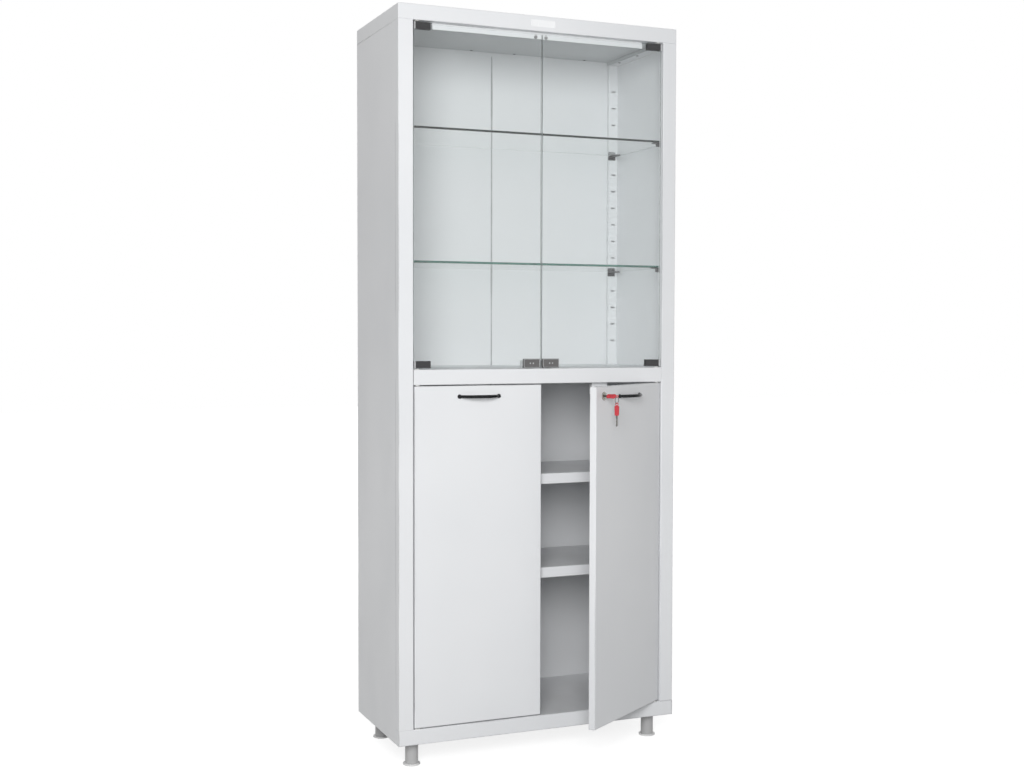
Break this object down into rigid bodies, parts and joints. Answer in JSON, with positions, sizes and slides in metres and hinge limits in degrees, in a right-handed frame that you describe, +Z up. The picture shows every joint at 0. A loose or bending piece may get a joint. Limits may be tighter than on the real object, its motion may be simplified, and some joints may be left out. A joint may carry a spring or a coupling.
{
  "type": "medical cabinet",
  "caption": "Tall white sheet-steel medical cabinet on round levelling legs, with clamped glass doors over a shelved upper part and lockable steel doors below.",
  "frame": {"origin": "on the floor, under the middle of the carcass", "axes": "+X to the right as seen from the front, +Y to the back, +Z up"},
  "size_m": [0.7, 0.5008, 1.715],
  "materials": {
    "carcass_paint": "semi-gloss white powder coat",
    "door_paint": "semi-gloss white powder coat",
    "shelf_paint": "semi-gloss white powder coat",
    "leg_paint": "pale grey paint over steel",
    "door_glass": "clear float glass with a green edge",
    "shelf_glass": "clear float glass with a green edge",
    "clamp_black": "satin black die casting",
    "catch_grey": "dark grey satin plate",
    "latch_plastic": "dark grey moulded plastic",
    "handle_chrome": "dark polished chrome",
    "lock_chrome": "polished nickel plate",
    "zinc": "bright zinc plate",
    "key_steel": "nickel-plated steel",
    "key_red": "glossy red moulded plastic",
    "bush_white": "natural white nylon",
    "buffer_rubber": "soft black rubber",
    "plate_metal": "bare satin plate"
  },
  "bodies": {
    "carcass": {"left_side_panel": "carcass_paint", "right_side_panel": "carcass_paint", "front_posts": "carcass_paint", "corner_rails": "carcass_paint", "top_cap": "carcass_paint", "ceiling_panel": "carcass_paint", "mid_partition": "carcass_paint", "base_tray": "carcass_paint", "back_panel_left": "carcass_paint", "back_panel_right": "carcass_paint", "back_joint_strip": "carcass_paint", "carcass_rivets": "zinc", "glass_shelf_upper": "shelf_glass", "glass_shelf_lower": "shelf_glass", "steel_shelf_upper": "shelf_paint", "steel_shelf_lower": "shelf_paint", "shelf_clips": "zinc", "leg_tubes": "leg_paint", "leg_bolts": "zinc", "pivot_bushes": "bush_white", "touch_latch_housings": "latch_plastic", "glass_door_buffers": "buffer_rubber", "door_magnets": "latch_plastic", "name_plate": "plate_metal"},
    "glass_door_left": {"glass_pane_left": "door_glass", "glass_clamps_left": "clamp_black", "glass_pivot_pins_left": "zinc", "clamp_screws_left": "zinc", "catch_plate_left": "catch_grey"},
    "glass_door_right": {"glass_pane_right": "door_glass", "glass_clamps_right": "clamp_black", "glass_pivot_pins_right": "zinc", "clamp_screws_right": "zinc", "catch_plate_right": "catch_grey"},
    "steel_door_left": {"steel_door_skin_left": "door_paint", "steel_door_liner_left": "door_paint", "steel_pivot_pins_left": "zinc", "handle_left": "handle_chrome", "handle_screws_left": "zinc"},
    "steel_door_right": {"steel_door_skin_right": "door_paint", "steel_door_liner_right": "door_paint", "steel_pivot_pins_right": "zinc", "handle_right": "handle_chrome", "handle_screws_right": "zinc", "lock_housing": "lock_chrome", "lock_nut": "zinc"},
    "lock_cylinder": {"lock_plug": "lock_chrome", "lock_cam": "zinc", "cam_screw": "zinc", "key_blade": "key_steel", "key_head": "key_red"},
    "spare_key": {"key_ring": "key_steel", "spare_key_blade": "key_steel", "spare_key_head": "key_red"},
    "plunger_left": {"latch_plunger_left": "latch_plastic"},
    "plunger_right": {"latch_plunger_right": "latch_plastic"},
    "foot_front_left": {"foot_front_left": "leg_paint"},
    "foot_front_right": {"foot_front_right": "leg_paint"},
    "foot_rear_left": {"foot_rear_left": "leg_paint"},
    "foot_rear_right": {"foot_rear_right": "leg_paint"}
  },
  "joints": [
    {"name": "glass_door_left_hinge", "type": "hinge", "parent": "carcass", "child": "glass_door_left", "pos_m": [-0.304, -0.1515, 0.911], "axis": [0, 0, -1], "range_deg": [0, 100]},
    {"name": "glass_door_right_hinge", "type": "hinge", "parent": "carcass", "child": "glass_door_right", "pos_m": [0.304, -0.1515, 0.911], "axis": [0, 0, 1], "range_deg": [0, 100]},
    {"name": "steel_door_left_hinge", "type": "hinge", "parent": "carcass", "child": "steel_door_left", "pos_m": [-0.3035, -0.154, 0.094], "axis": [0, 0, -1], "range_deg": [0, 110]},
    {"name": "steel_door_right_hinge", "type": "hinge", "parent": "carcass", "child": "steel_door_right", "pos_m": [0.3035, -0.154, 0.094], "axis": [0, 0, 1], "range_deg": [-34, 76]},
    {"name": "lock_turn", "type": "hinge", "parent": "steel_door_right", "child": "lock_cylinder", "pos_m": [0.08592, -0.308, 0.846], "axis": [0.5592, -0.829, 0], "range_deg": [0, 90]},
    {"name": "spare_key_swing", "type": "hinge", "parent": "steel_door_right", "child": "spare_key", "pos_m": [0.10437, -0.33536, 0.846], "axis": [-0.829, -0.5592, 0], "range_deg": [-20, 45]},
    {"name": "plunger_left_slide", "type": "slide", "parent": "carcass", "child": "plunger_left", "axis": [0, 1, 0], "range_m": [0, 0.004], "stiffness_N_per_m": 400, "springref_m": -0.003},
    {"name": "plunger_right_slide", "type": "slide", "parent": "carcass", "child": "plunger_right", "axis": [0, 1, 0], "range_m": [0, 0.004], "stiffness_N_per_m": 400, "springref_m": -0.003},
    {"name": "foot_front_left_slide", "type": "slide", "parent": "carcass", "child": "foot_front_left", "axis": [0, 0, -1], "range_m": [0, 0.012]},
    {"name": "foot_front_right_slide", "type": "slide", "parent": "carcass", "child": "foot_front_right", "axis": [0, 0, -1], "range_m": [0, 0.012]},
    {"name": "foot_rear_left_slide", "type": "slide", "parent": "carcass", "child": "foot_rear_left", "axis": [0, 0, -1], "range_m": [0, 0.012]},
    {"name": "foot_rear_right_slide", "type": "slide", "parent": "carcass", "child": "foot_rear_right", "axis": [0, 0, -1], "range_m": [0, 0.012]}
  ]
}
